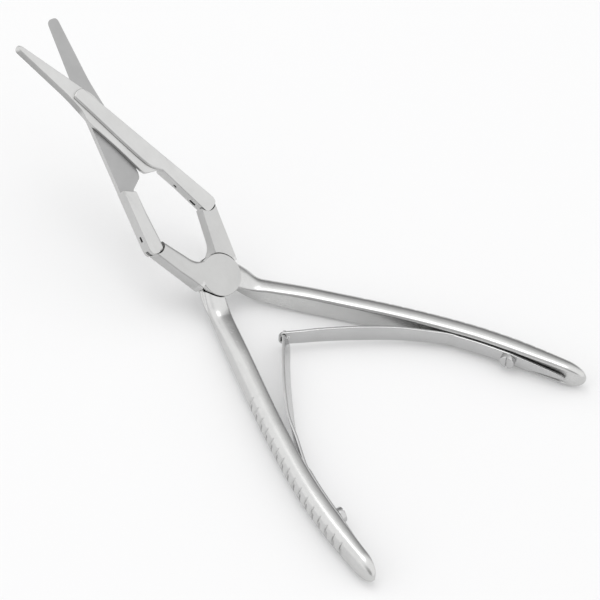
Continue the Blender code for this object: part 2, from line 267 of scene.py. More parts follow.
# %% [markdown]
# Booleans then cut the fork slots and the lap of the joint, and weld arms to handles, as milling and
# forging would. The result is kept as a plain mesh. A Weighted Normal modifier lets the large flat
# faces set the shading at their rims, which keeps flats looking flat beside their rounded edges.

# %% Cutting and welding
def settle(piece, tool, operation):
    """Applies an exact Boolean with a tool and removes the tool."""
    modifier = piece.modifiers.new(tool.name, "BOOLEAN")
    modifier.operation, modifier.object, modifier.solver = operation, tool, "EXACT"
    shape = bpy.data.meshes.new_from_object(piece.evaluated_get(bpy.context.evaluated_depsgraph_get()))
    piece.modifiers.clear()
    piece.data = shape
    bpy.data.objects.remove(tool, do_unlink=True)
    smooth(shape)


def cut(piece, tool):
    """Takes the tool's shape out of the piece."""
    settle(piece, tool, "DIFFERENCE")


def weld(piece, tool):
    """Makes the piece and the tool one closed piece."""
    settle(piece, tool, "UNION")


def steady_normals(piece):
    """Lets large faces set the shading at their rims."""
    modifier = piece.modifiers.new("flat_faces", "WEIGHTED_NORMAL")
    modifier.keep_sharp = True
    modifier.weight = 60


print("tools for milling and forging: cut and weld")

# %% [markdown]
# Two small helpers are used by nearly every shape: a soft step from 0 to 1, and the places along a bar
# where its section is worked out, close together where the shape changes quickly.

# %% Soft steps and stations
def ease(x, start, end):
    """0 before start, 1 after end, and 3t^2 - 2t^3 between."""
    t = np.clip((np.asarray(x, float) - start) / (end - start), 0.0, 1.0)
    return t * t * (3 - 2 * t)


def stations(*stops):
    """Places along a piece: for each (end, step) in turn, equal steps from the last end."""
    places = [np.array([stops[0]])]
    for end, step in stops[1:]:
        start = places[-1][-1]
        places.append(np.linspace(start, end, max(2, round((end - start) / step) + 1))[1:])
    return np.concatenate(places)


print("a soft step from 0 to 4:", ease([0, 1, 2, 3, 4], 0, 4))

# %% [markdown]
# ## Blade levers
# Each lever is a thin plate that slides on the other lever's plate, a rib that stiffens it and a
# full-thickness tail that is slotted to take an arm. They are flat shapes of different heights with
# differently softened rims, so each is a slab from a rounded outline. The plate's rim leans inward
# along the blade's back, and a little along the cutting edge. A Boolean then makes them one piece.

# %% Blade lever
LAP_GAP = 0.05             # half the gap between the lapped faces
PLATE_TOP = 1.3
RIB_TOP, TAIL_HALF = 2.18, 2.2                   # not equal: a Boolean fails on faces that coincide
TAIL_RADIUS = 2.6


def plate(name, place, edge, slope):
    """Thin plate from tip to tail; the cutting edge is at edge + slope*x off the lever's axis."""
    def cutting(x):
        return (x, edge + slope * x)
    corners = [(28.0, 2.75), (1.8, 2.75), (-1.6, 3.3), cutting(-5.2), cutting(-29.75), (-29.8, -1.42),
               (-9.0, -2.75), (-3.0, -3.7), (0.5, -4.3), (12.5, -4.7), (21.4, -5.5), (22.9, -5.2),
               (25.5, -1.7), (28.0, -1.1)]
    outline = rounded(corners, [0.3, 1.5, 1.2, 1.5, 1.7, 1.5, 3, 2.5, 1.5, 4, 0.5, 0.6, 0.5, 0.3])
    x, y = outline.T
    bevel = (0.95 * ease(-x, -0.5, 4.5) * ease(-y, -0.3, 0.6)
             + 0.6 * ease(-x, 2.5, 7.0) * ease(y, -0.3, 0.6))
    soft = 0.10 + 0.12 * ease(x, 0, 6) * ease(-y, 3, 4)
    return slab(name, outline, LAP_GAP, PLATE_TOP, 0.05, soft, place, 5, bevel)


def rib(name, place):
    """Rib with a narrow outer rim and a broad soft rim towards the gap between the levers."""
    corners = [(-7.0, 2.62), (-7.8, 1.9), (-8.1, 0.6), (-7.9, -0.8), (-7.4, -1.4), (2.4, -2.1),
               (10.6, -2.65), (18.8, -3.05), (22.6, -3.0), (27.0, -1.15), (30.0, -1.2), (30.0, 2.7),
               (1.8, 2.68)]
    outline = rounded(corners, [0.4, 0.6, 1, 0.5, 0.35, 4, 4, 3, 1.5, 1.5, 0.4, 0.4, 3])
    soft = 0.22 + 0.56 * ease(-outline[:, 1], 0.9, 1.7)
    return slab(name, outline, PLATE_TOP - 0.5, RIB_TOP, 0, soft, place, 7)


def tail(name, place):
    """Tail as thick as the joint, softer on the side towards the gap."""
    end = TAIL_LENGTH + TAIL_RADIUS
    corners = [(24.6, 2.72), (26.3, -1.15), (36, -1.9), (42.0, -2.3), (end, -2.5), (end, 2.7),
               (34, 2.72)]
    outline = rounded(corners, [0.35, 0.4, 3, 2, 2.5, 2.5, 3], 10)
    x, y = outline.T
    inner = ease(-y, -0.2, 1.0) * ease(x, 27.0, 30.0)
    return slab(name, outline, -TAIL_HALF, TAIL_HALF, 0.22 + 0.9 * inner, 0.2 + 0.12 * inner, place, 7)


print(f"rib {RIB_TOP} mm and tail {TAIL_HALF} mm above the lapped plane")

# %% [markdown]
# The slot for the arm's tongue breaks out of the tail in short slits, two towards the gap between the
# levers and one on the outside. The two blades are ground to different widths at the tip, so each has
# its own edge line.

# %% Assemble a blade lever
SLITS = [                  # start, finish, inner and outer side, half width
    (38.8, 52, -2.05, 2.3, 0.8), (43.7, 52, -6, 6, 0.8),   # room for the tongue, open at the end
    (32.2, 33.3, -6, 0, 0.4), (38.8, 41.0, -6, 0, 0.5),    # slits towards the gap
    (39.0, 40.6, 0, 6, 0.5),                               # slit on the outside
]


def blade_lever(name, half, edge, slope):
    """Plate, rib and tail in one piece, slotted, and in its place in a half's frame."""
    place = half @ shifted(REACH, 0) @ turned(BLADE_TURN)
    piece = plate(name, place, edge, slope)
    weld(piece, rib("rib", place))
    weld(piece, tail("tail", place))
    for start, finish, inner, outer, half_width in SLITS:
        slit = [(start, inner), (finish, inner), (finish, outer), (start, outer)]
        cut(piece, slab("slit", slit, -half_width, half_width, 0, 0, place, 2))
    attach(piece, name)
    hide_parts(f"{name}_lever")
    return piece

# %% [markdown]
# Apart from its edge line the bottom lever is the top one turned over about the blades' axis. Their
# lapped faces slide on each other at the blade pivot.

# %% Make both blade levers
top_blade = blade_lever("top_blade", TOP_HALF, 4.25, 0.1)
bottom_blade = blade_lever("bottom_blade", LOWER_HALF, 3.5, 0.045)
print("blade levers:", len(top_blade.data.polygons), "faces each")

# %% [markdown]
# ## Handles
# A handle is a bowed bar that starts at the joint in the jaw plane, twists as it bends down to the
# handles' own plane and swells from a slim neck. Its section has a flat inner face with a shallow
# channel for the spring and a crowned outer face with grip grooves filed across it. The bar's centre
# line is a Catmull-Rom curve through a few points, and the section is carried along it.

# %% Handle line and its directions
HANDLE_REACH = 101.5
DROP = 5.35                # handle plane below the pivot
BEND_POINTS = [ALONG * 1.5 + ACROSS * 3.6, ALONG * 5.0 + ACROSS * 5.6, (8.2, 7.7, 0.35 - DROP)]
FLAT_POINTS = [(13.0, 10.3), (28.0, 18.4), (47.0, 28.4), (64.0, 36.3), (76.5, 41.0), (90.0, 45.0),
               (HANDLE_REACH, 47.9)]


def smooth_path(points, count):
    """Catmull-Rom curve: between points b and c, with a before and d after, it is half of
    2b + (c-a) f + (2a-5b+4c-d) f^2 + (3b-a-3c+d) f^3, with f from 0 to 1."""
    points = np.array(points, float)
    padded = np.vstack([2 * points[0] - points[1], points, 2 * points[-1] - points[-2]])
    t = np.linspace(0, len(points) - 1, count)
    i = np.minimum(t.astype(int), len(points) - 2)
    f = (t - i)[:, None]
    a, b, c, d = padded[i], padded[i + 1], padded[i + 2], padded[i + 3]
    return 0.5 * (2 * b + (c - a) * f + (2 * a - 5 * b + 4 * c - d) * f ** 2
                  + (3 * b - a - 3 * c + d) * f ** 3)


HANDLE_LINE = smooth_path(BEND_POINTS + [(x, y, -DROP) for x, y in FLAT_POINTS], 400)


def unit(vectors):
    """Vectors with their length made one."""
    return vectors / np.linalg.norm(vectors, axis=-1, keepdims=True)


def handle_axes(x, side):
    """Centre, outward and upward directions of a handle at distances x along X from the pivot."""
    slopes = np.gradient(HANDLE_LINE, HANDLE_LINE[:, 0], axis=0)
    centre = np.stack([np.interp(x, HANDLE_LINE[:, 0], HANDLE_LINE[:, k]) for k in range(3)], axis=1)
    run = unit(np.stack([np.interp(x, HANDLE_LINE[:, 0], slopes[:, k]) for k in range(3)], axis=1))
    lean = ease(x, 3.0, 13.0)[:, None]
    up = PIN_AXIS * (1 - lean) + np.array([0, 0, 1.0]) * lean
    up = unit(up - run * (run * up).sum(axis=1, keepdims=True))
    outward = np.cross(up, run)
    mirror = np.array([1.0, side, 1.0])
    return PIVOT + centre * mirror, outward * mirror, up * mirror


print(f"handle line {np.linalg.norm(np.diff(HANDLE_LINE, axis=0), axis=1).sum():.0f} mm long")

# %% [markdown]
# The grooves are short notches filed across the outer side, 3.4 mm apart. Each is a narrow V that only
# the middle of the outer side takes part in, so the stations are close together there. Towards the end
# the bar slims and closes in a round nose.

# %% Handle section
GROOVES = np.linspace(37.0, 88.5, 16)            # distances along X from the pivot
GROOVE_DEPTH, GROOVE_HALF = 0.85, 0.42
CHANNEL_DEPTH, CHANNEL_START, CHANNEL_END = 0.4, 51.0, 96.6
NOSE = 6.5                 # length of the round nose at a handle's end
NECK_HALF = 2.4


def columns(*corners):
    """Sections from corners that are pairs of numbers or of arrays, as (stations, corners, 2)."""
    return np.stack([np.stack(np.broadcast_arrays(*corner), axis=1) for corner in corners], axis=1)


def handle_bar_size(x):
    """Half thickness, half height and how far the bar has grown, before the round nose."""
    thick = 2.9 - 0.65 * ease(x, 78.0, HANDLE_REACH)
    grow = ease(x, 4.0, 24.0)
    return thick, NECK_HALF + (4.2 - NECK_HALF) * grow, grow


def handle_sections(x, disc_above):
    """Corners and radii of a handle's section; the neck is as high as the joint's disc on its side.

    The inner side is flat with a crisp upper edge. From there the section runs over the crown and down
    the outer side like half an ellipse.
    """
    thick, half, grow = handle_bar_size(x)
    nose = np.sqrt(np.clip(1 - (np.clip(x - HANDLE_REACH + NOSE, 0, None) / NOSE) ** 2, 0, 1))
    thick, half = thick * (0.03 + 0.97 * nose), half * (0.05 + 0.95 * nose)
    tall = half + (2.9 - NECK_HALF) * (1 - grow)
    wide = 1.1 * (1 - ease(x, 2.0, 9.0))
    scale = half / 4.2
    near = np.abs(x[:, None] - GROOVES[None]).min(axis=1)
    groove = GROOVE_DEPTH * np.clip(1 - near / GROOVE_HALF, 0, 1)
    channel = CHANNEL_DEPTH * (ease(x, CHANNEL_START, CHANNEL_START + 3)
                               - ease(x, CHANNEL_END - 2.5, CHANNEL_END + 0.6))

    def rows(high, sign, wide):
        inner, outer = thick + 0.9 * wide, thick + wide
        return [(-thick + channel, sign * 2.7 * scale), (-inner, sign * 2.85 * scale),
                (-inner, sign * (high - 0.95 * scale)), (-inner * 0.86, sign * (high - 0.25 * scale)),
                (-thick * 0.30, sign * high), (outer * 0.36, sign * high * 0.95),
                (outer * 0.80 - 0.3 * groove, sign * high * 0.66),
                (outer * 0.985 - groove, sign * high * 0.25)]

    above = rows(tall if disc_above else half, 1, wide if disc_above else 0 * x)
    below = rows(half if disc_above else tall, -1, 0 * x if disc_above else wide)
    corners = above + [(thick - groove, 0 * x)] + below[::-1]
    radii = [0.1, 0.1, 0.18, 0.5, 1.3, 1.4, 1.4, 0.8]
    return columns(*corners), np.array(radii + [0.8] + radii[::-1])


def handle_bar(name, side, disc_above):
    """Skin through the handle's sections, with nine close stations in each groove."""
    x = stations(HANDLE_LINE[0, 0], (16, 0.4), (36, 0.8), (90, 0.57), (94, 0.4), (100.8, 0.15),
                 (HANDLE_REACH - 0.01, 0.04))
    notch = np.array([-1.15, -0.9, -0.6, -0.3, 0.0, 0.3, 0.6, 0.9, 1.15]) * GROOVE_HALF
    clear = np.abs(x[:, None] - GROOVES[None]).min(axis=1) > 1.25 * GROOVE_HALF
    x = np.sort(np.concatenate([x[clear], (GROOVES[:, None] + notch[None]).ravel()]))
    centre, outward, up = handle_axes(x, side)
    corners, radii = handle_sections(x, disc_above)
    section = rounded_sections(corners, radii, 4)
    return skin(name, centre[:, None] + outward[:, None] * section[..., :1]
                + up[:, None] * section[..., 1:])


print(len(GROOVES), f"grooves, {GROOVE_DEPTH} mm deep")

# %% [markdown]
# ## Joint
# Each handle lever ends in a disc of half the joint's thickness and a short arm to the blade lever's
# tail. The arm is a bar that flares into the disc with a hollow curve. Bar, arm and disc are welded
# into one piece, and the half of the joint where the other disc lies is cut away round.

# %% Arm and disc of a handle lever
DISC_RADIUS, DISC_TOP, LAP_RADIUS = 6.45, 2.9, 6.75
SHOULDER_RADIUS = 2.78     # hollow of the arm round the tail's end
ARM_TURN = math.radians(-20.6)
TONGUE_RADIUS, TONGUE_HALF = 2.3, 0.72


def arm_bar(name, place):
    """Bar from the link pin. Its side over the disc is flat with crisp edges; on the disc's own side
    the inner edge is well rounded, and the lower part of that side curves out by a square law."""
    a = stations(0.6, (10.5, 0.9), (18.8, 0.3))
    foot = 1.5 * (np.clip(a - 11.2, 0, 6.0) / 4.2) ** 2
    outer, inner = 2.35 + 0.052 * a, -2.35 - 0.03 * a
    low = -NECK_HALF - 0.49 * ease(a, 10.5, 15.5)
    corners = columns((outer, low), (inner - foot, low), (inner - 0.25 * foot, 0.6), (inner, NECK_HALF),
                      (outer, NECK_HALF), (outer + 0.15, 0.0))
    soft = 1.75 - 1.5 * ease(a, 13.0, 16.0)
    radii = np.stack([0.7 + 0 * a, soft, 1.2 + 0 * a, 0.2 + 0 * a, 0.22 + 0 * a, 1.0 + 0 * a], axis=1)
    section = rounded_sections(corners, radii, 7)
    run = np.broadcast_to(a[:, None, None], (*section.shape[:2], 1))
    along_arm = place @ shifted(*LINK) @ turned(ARM_TURN)
    return skin(name, into(along_arm, np.concatenate([run, section], axis=2)))


def handle_lever(name, side, face):
    """Handle, arm and disc in one piece; its disc lies on the lower side of face."""
    piece = handle_bar(name, side, disc_above=side > 0)
    weld(piece, arm_bar("arm", face))
    cut(piece, slab("shoulder", circle(LINK, SHOULDER_RADIUS), -4, 4, 0, 0, face, 2))
    rim = circle((0, 0), DISC_RADIUS, 144)
    heading = np.degrees(np.arctan2(rim[:, 1], rim[:, 0]))
    joined = (ease(heading, -105, -85) - ease(heading, -15, 0)          # where arm and handle join it
              + ease(heading, 125, 140) - ease(heading, 165, 178))
    weld(piece, slab("disc", rim, -DISC_TOP, -1.0, 0.28 - 0.26 * joined, 0, face))
    cut(piece, slab("lap", circle((0, 0), LAP_RADIUS, 144), -LAP_GAP, 6, 0, 0, face, 2))
    angle = np.linspace(math.pi / 2, 1.5 * math.pi, 19) + ARM_TURN
    round_end = np.stack([LINK[0] + TONGUE_RADIUS * np.cos(angle),
                          LINK[1] + TONGUE_RADIUS * np.sin(angle)], axis=1)
    c, s = math.cos(ARM_TURN), math.sin(ARM_TURN)
    root = [(LINK[0] + 6 * c - n * s, LINK[1] + 6 * s + n * c) for n in (-2.2, 2.2)]
    tongue = np.vstack([round_end, root])
    weld(piece, slab("tongue", tongue, -TONGUE_HALF, TONGUE_HALF, 0.1, 0.1, face, 3))
    return piece


upper_handle = handle_lever("upper_handle", 1, LOWER_HALF)
lower_handle = handle_lever("lower_handle", -1, TOP_HALF)
for piece, body in ((upper_handle, "upper_handle"), (lower_handle, "lower_handle")):
    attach(piece, body)
    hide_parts(f"{body}_lever")
print("handle levers:", len(upper_handle.data.polygons), "faces each")

# %% [markdown]
# ## Pins
# The four pins are riveted flush and ground with the faces round them, so at most a hair line shows.
# Each is a turned slug. Three stand proud by a few thousandths of a millimetre, and the main one ends
# just under the disc's face, where nothing of it shows.

# %% Pins
PROUD, SUNK = 0.003, 0.02


def pin(name, node, centre, radius, half, place):
    """Turned slug from -half to half along the pins' axis; it follows the node it stands for."""
    piece = slab(name, circle(centre, radius, 64), -half - PROUD, half + PROUD, 0.0, 0.0, place, 2)
    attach(piece, BODY_OF[node])
    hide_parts(node)
    return piece


blade_place = TOP_HALF @ shifted(REACH, 0)
pins = [
    pin("handle_pivot_rivet", "handle_pivot_pin", (0, 0), 2.3, DISC_TOP - SUNK, TOP_HALF),
    pin("blade_pivot_rivet", "blade_pivot_pin", (0, 0), 1.3, RIB_TOP, blade_place),
    pin("top_link_rivet", "top_link_pin", LINK, 1.1, TAIL_HALF, TOP_HALF),
    pin("bottom_link_rivet", "bottom_link_pin", LINK, 1.1, TAIL_HALF, LOWER_HALF),
]
print("pins:", ", ".join(piece.name for piece in pins))

# %% [markdown]
# ## Leaf springs
# Two strips of spring steel lie on the handles' inner sides, leave them and cross to the middle, where
# the T of one hooks through a window in the other. A strip is a thin rounded section along a curve.
# It bends when the handles close. Here each strip is made as one piece in its place, and it follows no
# body.

# %% Leaf springs
SPRING_THICKNESS = 0.9
SPRING_FLOOR = 0.3         # gap under the strip in its shallow channel
LOWER_TWIST = 0.35         # sideways lean of the lower strip's free part
SPRING_HEIGHT = 4.2        # of the strips' middle above the floor
SCREW_AT, SPRING_LEAVES, SPRING_MEET = 79.0, 57.5, 27.2          # distances along X from the pivot


def leaf_line(side):
    """Centre line of a strip: parallel to the channel's floor, then free to past the middle."""
    x = np.array([96.0, 90.0, 84.0, SCREW_AT, 74.0, 69.0, 64.0, 60.5])
    centre, outward, _ = handle_axes(x, side)
    out = handle_bar_size(x)[0] + SPRING_FLOOR + SPRING_THICKNESS / 2 - CHANNEL_DEPTH
    root = centre - outward * out[:, None]
    free = [(50.5, 23.8), (41.5, 15.6), (34.1, 7.9), (30.4, 3.6), (SPRING_MEET, 0.0), (24.2, -3.3)]
    middle = [(PIVOT[0] + x, y * side, SPRING_HEIGHT) for x, y in free]
    return smooth_path(np.vstack([root, middle]), 900)


def leaf_spring(name, side):
    """Strip from its far end to its hook; half its height comes from where it is along the line."""
    line = leaf_line(side)
    past = -line[:, 1] * side / math.sin(math.radians(48.0))       # how far past the middle, mm
    last = 2.2 if side > 0 else 1.55                               # where the strip ends
    line, past = line[past <= last], past[past <= last]
    x = line[:, 0] - PIVOT[0]
    half = np.interp(x, [26, 34, 42, 50, 57, 80, 95], [2.55, 2.85, 3.0, 2.9, 2.6, 2.4, 0.9])
    if side < 0:
        half = half + (0.8 - half) * ease(past, -1.1, -0.95)
        half = half + (1.7 - half) * ease(past, 0.8, 0.95)
    nose = 1.6 if side > 0 else 0.3
    half = half * np.sqrt(1 - 0.9 * (np.clip(past - last + nose, 0, None) / nose) ** 2)
    half = half * np.sqrt(1 - 0.9 * (np.clip(x - x.max() + 2.4, 0, None) / 2.4) ** 2)
    keep = np.unique(np.concatenate([np.arange(0, len(line), 4), np.flatnonzero(past > -2.5)]))
    line, half, past = line[keep], half[keep], past[keep]
    run = unit(np.gradient(line, axis=0))
    flat = unit(np.stack([-run[:, 1], run[:, 0], 0 * run[:, 0]], axis=1))
    thick = SPRING_THICKNESS / 2
    section = rounded_sections(columns((thick, half), (-thick, half), (-thick, -half), (thick, -half)),
                               0.28, 5)
    twist = LOWER_TWIST * ease(-(line[:, 0] - PIVOT[0]), -56, -46) * (side < 0)
    shift = section[..., :1] + twist[:, None, None] * section[..., 1:]
    piece = skin(name, line[:, None] + flat[:, None] * shift + np.array([0, 0, 1.0]) * section[..., 1:])
    if side > 0:
        window = [(-0.8, -4), (0.95, -4), (0.95, 4), (-0.8, 4)]
        cut(piece, slab("window", window, -1.1, 1.1, 0, 0,
                        shifted(PIVOT[0] + SPRING_MEET, 0, SPRING_HEIGHT), 2))
    leaving = leaf_line(side)[np.argmax(leaf_line(side)[:, 0] < PIVOT[0] + SPRING_LEAVES)]
    body = "upper" if side > 0 else "lower"
    tuple(leaving * MM)
    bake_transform(piece)
    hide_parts(f"{body}_leaf_spring")
    return piece


leaves = [leaf_spring("upper_leaf", 1), leaf_spring("lower_leaf", -1)]
print("leaf springs:", len(leaves[0].data.polygons), "and", len(leaves[1].data.polygons), "faces")

# %% [markdown]
# ## Spring screws
# A cheese-head screw holds each strip. Its head is a turned disc with a rounded rim and a straight slot
# milled across, and its shank goes into the handle.

# %% Spring screws
HEAD_RADIUS, HEAD_HEIGHT, SHANK_RADIUS = 2.35, 1.7, 1.15


def seat(side):
    """Frame on the channel's floor at the screw, with its third axis towards the other handle."""
    x = np.array([SCREW_AT])
    centre, outward, up = (v[0] for v in handle_axes(x, side))
    floor_point = centre + outward * (CHANNEL_DEPTH - handle_bar_size(x)[0][0])
    return placed(floor_point, up, np.cross(-outward, up), -outward)


def spring_screw(name, side):
    """Slotted head over the strip, and a shank through the strip into the handle."""
    place = seat(side)
    under = SPRING_FLOOR + SPRING_THICKNESS + 0.02
    piece = slab(name, circle((0, 0), HEAD_RADIUS, 96), under, under + HEAD_HEIGHT, 0.08, 0.35, place, 7)
    slot = [(-4, -0.35), (4, -0.35), (4, 0.35), (-4, 0.35)]
    cut(piece, slab("slot", slot, 2.2, 4, 0, 0, place, 2))
    weld(piece, slab("shank", circle((0, 0), SHANK_RADIUS, 48), -2.8, under + 0.4, 0.1, 0, place, 3))
    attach(piece, "upper_handle" if side > 0 else "lower_handle")
    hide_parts(f"{name}_screw")
    return piece


screws = [spring_screw("upper_spring", 1), spring_screw("lower_spring", -1)]
print("screws:", len(screws[0].data.polygons), "faces each")

# %% [markdown]
# ## Steel
# Every piece is stainless steel, and the finishes differ in how they were ground: the blade levers and
# the joint are satin with darker lapped faces, the handles are polished, the strips carry fine
# lengthwise lines and the screw heads are turned. A finish is a metal shader whose roughness and colour
# vary a little, over grain drawn out in one direction and over soft cloudy patches. Where the surface
# curves sharply outward the steel is rubbed smoother. That needs a number for how convex a mesh is at
# each point, which the next cell works out.

# %% Rubbed rims
RIM_REACH = 2              # how many rounds of smoothing spread a rim


def store(mesh, name, values):
    """Keeps a number for every point of a mesh, for a material to read."""
    mesh.attributes.new(name, "FLOAT", "POINT").data.foreach_set("value", values.astype(np.float32))


def mark_rims(mesh):
    """Stores how convex each point is, as the attribute rim.

    For every edge from i to j with unit direction d, point i leans away from its neighbour by the
    product of its normal and -d. The mean over its edges, smoothed along edges, is the convexity.
    """
    points, normals = read(mesh.vertices, "co"), read(mesh.vertices, "normal")
    i, j = read(mesh.edges, "vertices", 2, int).T
    span = np.linalg.norm(points[j] - points[i], axis=1, keepdims=True)
    way = (points[j] - points[i]) / np.maximum(span, 1e-9)
    count = np.maximum(np.bincount(i, minlength=len(points)) + np.bincount(j, minlength=len(points)), 1)

    def gather(at_i, at_j):
        total = np.bincount(i, at_i, len(points)) + np.bincount(j, at_j, len(points))
        return total / count

    rim = gather(-(normals[i] * way).sum(axis=1), (normals[j] * way).sum(axis=1))
    for _ in range(RIM_REACH):
        rim = 0.5 * rim + 0.5 * gather(rim[j], rim[i])
    store(mesh, "rim", np.clip(rim * 4, 0, 1))


for piece in [top_blade, bottom_blade, upper_handle, lower_handle, *pins, *leaves, *screws]:
    mark_rims(piece.data)
print("rims marked on", len(pins) + len(leaves) + len(screws) + 4, "pieces")

# %% [markdown]
# The grooves of the grips and the springs' channels are made a little rougher, and their colour is
# darkened as painted shade in these recesses. Both are known in the handle's own directions, which makes
# them easy to mark.

# %% Painted shade in the hollows
def mark_shaded_hollows(mesh, side):
    """Stores 1 in the grooves and on the channel's floor, and 0 elsewhere, as the attribute that masks the
    painted shade.
    """
    points = read(mesh.vertices, "co") / MM
    x = points[:, 0] - PIVOT[0]
    centre, outward, up = handle_axes(x, side)
    out, high = ((points - centre) * outward).sum(axis=1), np.abs(((points - centre) * up).sum(axis=1))
    thick = handle_bar_size(x)[0]
    near = np.abs(x[:, None] - GROOVES[None]).min(axis=1)
    groove = np.clip(1.3 - 1.6 * near / GROOVE_HALF, 0, 1) * ease(out, 0.4, 1.0) * ease(-high, -2.0, -1.2)
    floor = (out < CHANNEL_DEPTH * 1.2 - thick) * (high < 2.75)
    floor = (floor * ease(x, CHANNEL_START, CHANNEL_START + 12)
             * ease(-x, -CHANNEL_END, -CHANNEL_END + 3.0))
    store(mesh, "hollow", np.clip(groove + 0.7 * floor, 0, 1))
    return int((groove > 0.5).sum()), int((floor > 0.5).sum())


print("points in grooves and channels:", mark_shaded_hollows(upper_handle.data, 1),
      mark_shaded_hollows(lower_handle.data, -1))

# %% [markdown]
# Shader maths reads best as arithmetic. The class below wraps a socket so that an expression on it adds
# Math nodes, and the sheet class adds any other node by its type, settings and inputs.

# %% Shader arithmetic
class Wire:
    """An output socket that understands arithmetic."""

    def __init__(self, sheet, socket):
        self.sheet, self.socket = sheet, socket

    def _math(self, operation, *values):
        return self.sheet.add("Math", {"operation": operation}, *values)

    def __add__(self, other):
        return self._math("ADD", self, other)

    def __sub__(self, other):
        return self._math("SUBTRACT", self, other)

    def __rsub__(self, other):
        return self._math("SUBTRACT", other, self)

    def __mul__(self, other):
        return self._math("MULTIPLY", self, other)

    def clamped(self):
        return self._math("MINIMUM", self._math("MAXIMUM", self, 0.0), 1.0)

    __radd__, __rmul__ = __add__, __mul__


class Sheet:
    """A node tree that nodes are added to."""

    def __init__(self, tree):
        self.tree = tree

    def feed(self, socket, value):
        """Links a socket to a wire, or sets its value."""
        if isinstance(value, Wire):
            self.tree.links.new(value.socket, socket)
        else:
            socket.default_value = value

    def add(self, kind, settings, *values, output=None, stops=(), **named):
        """Adds a node: settings and ramp stops first, then socket values or links in order or by name."""
        node = self.tree.nodes.new("ShaderNode" + kind)
        for key, value in settings.items():
            setattr(node, key, value)
        for element, (position, level) in zip(node.color_ramp.elements if stops else (), stops):
            element.position, element.color = position, (level, level, level, 1)
        live = [socket for socket in node.inputs if socket.enabled]
        for socket, value in zip(live, values):
            self.feed(socket, value)
        for socket in live:
            if socket.name.replace(" ", "_") in named:
                self.feed(socket, named[socket.name.replace(" ", "_")])
        outputs = [socket for socket in node.outputs if socket.enabled]
        chosen = [socket for socket in outputs if socket.name == output] or outputs
        return Wire(self, chosen[0])


class Finish(Sheet):
    """A material being drawn: its nodes and its shader."""

    def __init__(self, name):
        self.material = bpy.data.materials.new(name)
        self.material.use_nodes = True
        super().__init__(self.material.node_tree)
        self.shader = self.tree.nodes["Principled BSDF"]

    def blend(self, amount, first, second):
        """Colour between two colours."""
        return self.add("Mix", {"data_type": "RGBA"}, Factor=amount, A=(*first, 1.0), B=(*second, 1.0))


print("a wire answers to +, -, * and clamped")

# %% [markdown]
# The recipe takes the grain's direction and fineness, so that one function gives the satin of the
# levers, the drawn lines of the strips and the plain turned screws. Noise that is squeezed across the
# grain and stretched along it looks like strokes of an abrasive. The pattern is read from Object
# coordinates in metres, so a scale of 2000 is a grain half a millimetre wide.

# %% Recipe for ground steel
def ground_steel(name, colour, roughness, turn, grain, stretch, depth, patches=0.05, hollow_shade_level=0.0):
    """Metal whose roughness and colour follow a drawn-out grain, patches and the rubbed rims."""
    finish = Finish(name)
    place = finish.add("TexCoord", {}, output="Object")
    lined = finish.add("Mapping", {"vector_type": "TEXTURE"}, Vector=place, Rotation=turn)
    drawn = finish.add("Mapping", {}, Vector=lined, Scale=(1 / stretch, 1.0, 1.0))
    strokes = finish.add("TexNoise", {}, Vector=drawn, Scale=grain, Detail=4.0, Roughness=0.65)
    fine = finish.add("TexNoise", {}, Vector=drawn, Scale=grain * 3.7, Detail=2.0, Roughness=0.5)
    cloud = finish.add("TexNoise", {}, Vector=place, Scale=95.0, Detail=3.0, Roughness=0.55)
    haze = finish.add("TexNoise", {}, Vector=place, Scale=420.0, Detail=2.0, Roughness=0.6)
    rim = finish.add("Attribute", {"attribute_name": "rim"}, output="Fac")
    lines = (strokes - 0.5) * 0.7 + (fine - 0.5) * 0.5
    shade = (0.5 + lines * 0.5 + (cloud - 0.5) * 1.2 + (haze - 0.5) * 0.5).clamped()
    dark = tuple(c * 0.90 for c in colour)
    light = tuple(min(1.0, c * 1.06) for c in colour)
    base = finish.blend(shade, dark, light)
    uneven = roughness + (cloud - 0.5) * patches + lines * 0.10 - rim * (roughness * 0.35)
    # Painted shade: where the hollow mask is set, the colour is mixed towards a dark grey, and the
    # roughness rises a little.
    if hollow_shade_level:
        hollow = finish.add("Attribute", {"attribute_name": "hollow"}, output="Fac")
        base = finish.add("Mix", {"data_type": "RGBA"}, Factor=hollow * hollow_shade_level, A=base,
                          B=(0.12, 0.12, 0.12, 1.0))
        uneven = uneven + hollow * 0.15
    finish.feed(finish.shader.inputs["Base Color"], base)
    finish.feed(finish.shader.inputs["Roughness"], uneven.clamped())
    relief = finish.add("Bump", {}, Strength=0.35, Distance=depth, Height=strokes * 0.7 + fine * 0.3)
    finish.feed(finish.shader.inputs["Normal"], relief)
    finish.shader.inputs["Metallic"].default_value = 1.0
    return finish.material


satin = ground_steel("satin_steel", (0.575, 0.575, 0.57), 0.33, (0, math.radians(35), 0), 2600, 14, 6e-6)
lapped = ground_steel("lapped_steel", (0.39, 0.39, 0.39), 0.44, (0, math.radians(35), 0.2), 3400, 9, 5e-6)
# The handles get painted shade in their grooves and channels.
polished = ground_steel("polished_steel", (0.60, 0.60, 0.595), 0.26, (0, 0, 0), 2200, 6, 0.5e-6,
                        hollow_shade_level=0.75)
joint = ground_steel("joint_steel", (0.52, 0.52, 0.515), 0.34, (0, math.radians(35), 0), 2600, 8, 5e-6)
strip = ground_steel("spring_steel", (0.55, 0.55, 0.55), 0.25, (0, 0, 0), 3000, 20, 4e-6)
turned_steel = ground_steel("screw_steel", (0.53, 0.53, 0.53), 0.22, (0, 0, 0), 2600, 2, 4e-6)
